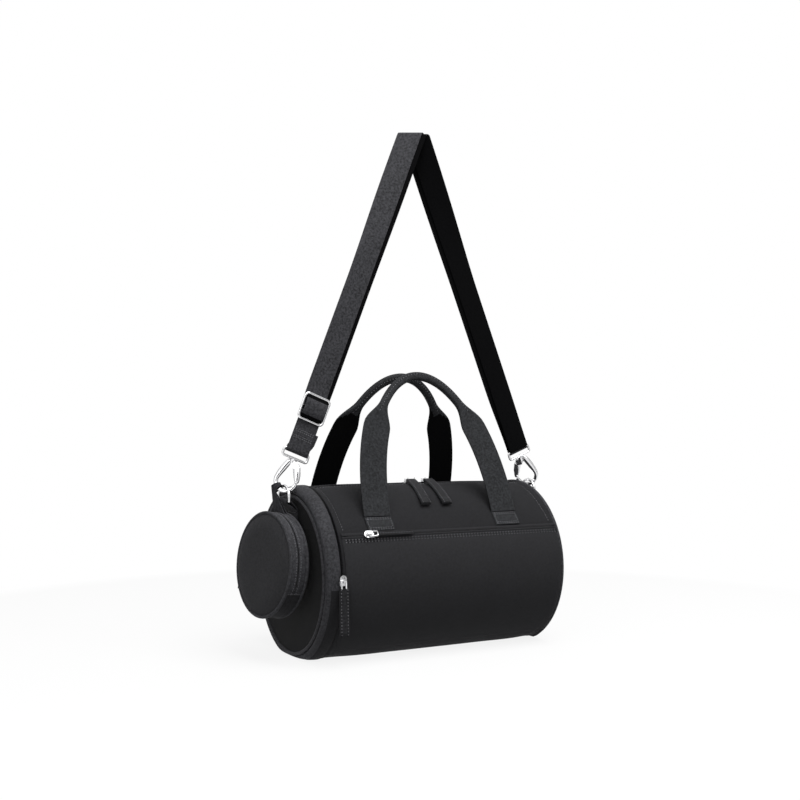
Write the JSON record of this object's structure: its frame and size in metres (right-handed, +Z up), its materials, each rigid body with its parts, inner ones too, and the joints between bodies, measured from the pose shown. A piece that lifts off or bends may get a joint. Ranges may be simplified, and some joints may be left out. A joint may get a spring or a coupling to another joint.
{
  "type": "sports bag",
  "caption": "Small barrel sports bag with webbing carry handles, front pocket, end zip, hooked shoulder strap and a round hanging pouch.",
  "frame": {"origin": "centre of the flat base, on the surface the bag stands on", "axes": "+X along the barrel to the closed end, -Y out of the front pocket, +Z up"},
  "size_m": [0.3429, 0.1862, 0.549],
  "materials": {
    "body_cloth": "matte woven polyester",
    "pocket_cloth": "matte woven polyester",
    "end_cloth": "matte woven polyester",
    "lining": "thin smooth lining",
    "zip": "ribbed nylon tape and coil",
    "webbing": "ribbed polyester webbing",
    "metal": "polished die-cast",
    "board": "stiff board"
  },
  "bodies": {
    "bag": {"body_panel": "body_cloth", "body_lining": "lining", "base_board": "board", "compartment_divider": "lining", "right_end_panel": "body_cloth", "right_piping": "zip", "left_end_panel": "end_cloth", "left_piping": "zip", "end_rim": "body_cloth", "end_gusset": "body_cloth", "end_zip_tapes": "zip", "end_zip_coil": "zip", "main_zip_tapes": "zip", "main_zip_coil": "zip", "main_zip_stops": "body_cloth", "pocket_panel": "pocket_cloth", "pocket_back": "lining", "pocket_zip_tape": "zip", "pocket_zip_coil": "zip", "front_handle_patches": "webbing", "back_handle_patches": "webbing", "left_ring_tab": "webbing", "right_ring_tab": "webbing"},
    "left_ring": {"left_ring": "metal"},
    "right_ring": {"right_ring": "metal"},
    "front_handle": {"front_handle": "webbing"},
    "back_handle": {"back_handle": "webbing"},
    "left_main_slider": {"left_main_slider": "metal"},
    "left_main_pull": {"left_main_pull": "webbing"},
    "right_main_slider": {"right_main_slider": "metal"},
    "right_main_pull": {"right_main_pull": "webbing"},
    "pocket_slider": {"pocket_slider": "metal"},
    "pocket_pull": {"pocket_pull": "webbing"},
    "end_slider": {"end_slider": "metal"},
    "end_pull": {"end_pull": "webbing"},
    "strap": {"strap_outer_layer": "webbing", "strap_inner_layer": "webbing", "strap_left_loop": "webbing", "strap_right_loop": "webbing", "left_strap_eye": "metal", "right_strap_eye": "metal"},
    "strap_slider": {"strap_slider_frame": "metal", "strap_slider_wrap": "webbing"},
    "left_hook": {"left_hook": "metal", "left_gate_pin": "metal"},
    "right_hook": {"right_hook": "metal", "right_gate_pin": "metal"},
    "left_hook_gate": {"left_hook_gate": "metal"},
    "right_hook_gate": {"right_hook_gate": "metal"},
    "pouch": {"pouch_front_panel": "pocket_cloth", "pouch_back_panel": "pocket_cloth", "pouch_side_wall": "body_cloth", "pouch_zip_coil": "zip", "pouch_tab": "webbing"},
    "pouch_slider": {"pouch_slider": "metal"},
    "pouch_pull": {"pouch_pull": "webbing"}
  },
  "joints": [
    {"name": "strap_swing", "type": "hinge", "parent": "bag", "child": "strap", "pos_m": [0, -0.009, 0.15976], "axis": [1, 0, 0], "range_deg": [-17, 15]},
    {"name": "left_hook_swivel", "type": "hinge", "parent": "strap", "child": "left_hook", "pos_m": [-0.136, -0.009, 0.2065], "axis": [0.3685, 0, 0.9296], "range_deg": [-4, 2]},
    {"name": "right_hook_swivel", "type": "hinge", "parent": "strap", "child": "right_hook", "pos_m": [0.136, -0.009, 0.2065], "axis": [-0.3685, 0, 0.9296], "range_deg": [-4, 2]},
    {"name": "left_gate_swing", "type": "hinge", "parent": "left_hook", "child": "left_hook_gate", "pos_m": [-0.13884, -0.01218, 0.19069], "axis": [0.6574, 0.7071, -0.2605], "range_deg": [0, 20], "stiffness_Nm_per_rad": 0.02, "springref_deg": -17.19},
    {"name": "right_gate_swing", "type": "hinge", "parent": "right_hook", "child": "right_hook_gate", "pos_m": [0.13884, -0.00582, 0.19069], "axis": [-0.6574, -0.7071, -0.2605], "range_deg": [0, 20], "stiffness_Nm_per_rad": 0.02, "springref_deg": -17.19},
    {"name": "strap_slider_slide", "type": "slide", "parent": "strap", "child": "strap_slider", "axis": [0.3685, 0, 0.9296], "range_m": [0, 0.12]},
    {"name": "front_handle_fold", "type": "hinge", "parent": "bag", "child": "front_handle", "pos_m": [0, -0.06803, 0.14326], "axis": [1, 0, 0], "range_deg": [-3, 105]},
    {"name": "back_handle_fold", "type": "hinge", "parent": "bag", "child": "back_handle", "pos_m": [0, 0.06803, 0.14326], "axis": [-1, 0, 0], "range_deg": [-3, 105]},
    {"name": "left_main_slide", "type": "slide", "parent": "bag", "child": "left_main_slider", "axis": [-1, 0, 0], "range_m": [0, 0.09]},
    {"name": "right_main_slide", "type": "slide", "parent": "bag", "child": "right_main_slider", "axis": [1, 0, 0], "range_m": [0, 0.085]},
    {"name": "left_main_pull_lift", "type": "hinge", "parent": "left_main_slider", "child": "left_main_pull", "pos_m": [-0.004, 0, 0.1734], "axis": [-1, 0, 0], "range_deg": [0, 85]},
    {"name": "right_main_pull_lift", "type": "hinge", "parent": "right_main_slider", "child": "right_main_pull", "pos_m": [0.017, 0, 0.1734], "axis": [-1, 0, 0], "range_deg": [0, 85]},
    {"name": "pocket_slide", "type": "slide", "parent": "bag", "child": "pocket_slider", "axis": [1, 0, 0], "range_m": [0, 0.18]},
    {"name": "pocket_pull_lift", "type": "hinge", "parent": "pocket_slider", "child": "pocket_pull", "pos_m": [-0.092, -0.08346, 0.12759], "axis": [0, -0.4794, -0.8776], "range_deg": [0, 150]},
    {"name": "end_zip_travel", "type": "hinge", "parent": "bag", "child": "end_slider", "pos_m": [-0.1245, 0, 0.082], "axis": [-1, 0, 0], "range_deg": [0, 172]},
    {"name": "end_pull_lift", "type": "hinge", "parent": "end_slider", "child": "end_pull", "pos_m": [-0.1245, -0.09344, 0.08526], "axis": [-1, 0, 0], "range_deg": [0, 150]},
    {"name": "left_ring_tilt", "type": "hinge", "parent": "bag", "child": "left_ring", "pos_m": [-0.14968, -0.009, 0.15676], "axis": [0, 1, 0], "range_deg": [0, 3]},
    {"name": "right_ring_tilt", "type": "hinge", "parent": "bag", "child": "right_ring", "pos_m": [0.14968, -0.009, 0.15676], "axis": [0, -1, 0], "range_deg": [0, 3]},
    {"name": "pouch_swing", "type": "hinge", "parent": "left_hook", "child": "pouch", "pos_m": [-0.15562, -0.00287, 0.17364], "axis": [-0.1144, 0.4353, 0.893], "range_deg": [0, 10]},
    {"name": "pouch_zip_travel", "type": "hinge", "parent": "pouch", "child": "pouch_slider", "pos_m": [-0.16531, -0.01266, 0.0945], "axis": [-0.9865, -0.1386, 0.0872], "range_deg": [-150, 0]},
    {"name": "pouch_pull_lift", "type": "hinge", "parent": "pouch_slider", "child": "pouch_pull", "pos_m": [-0.17259, 0.04215, 0.09932], "axis": [0.9865, 0.1386, -0.0872], "range_deg": [0, 85]}
  ]
}
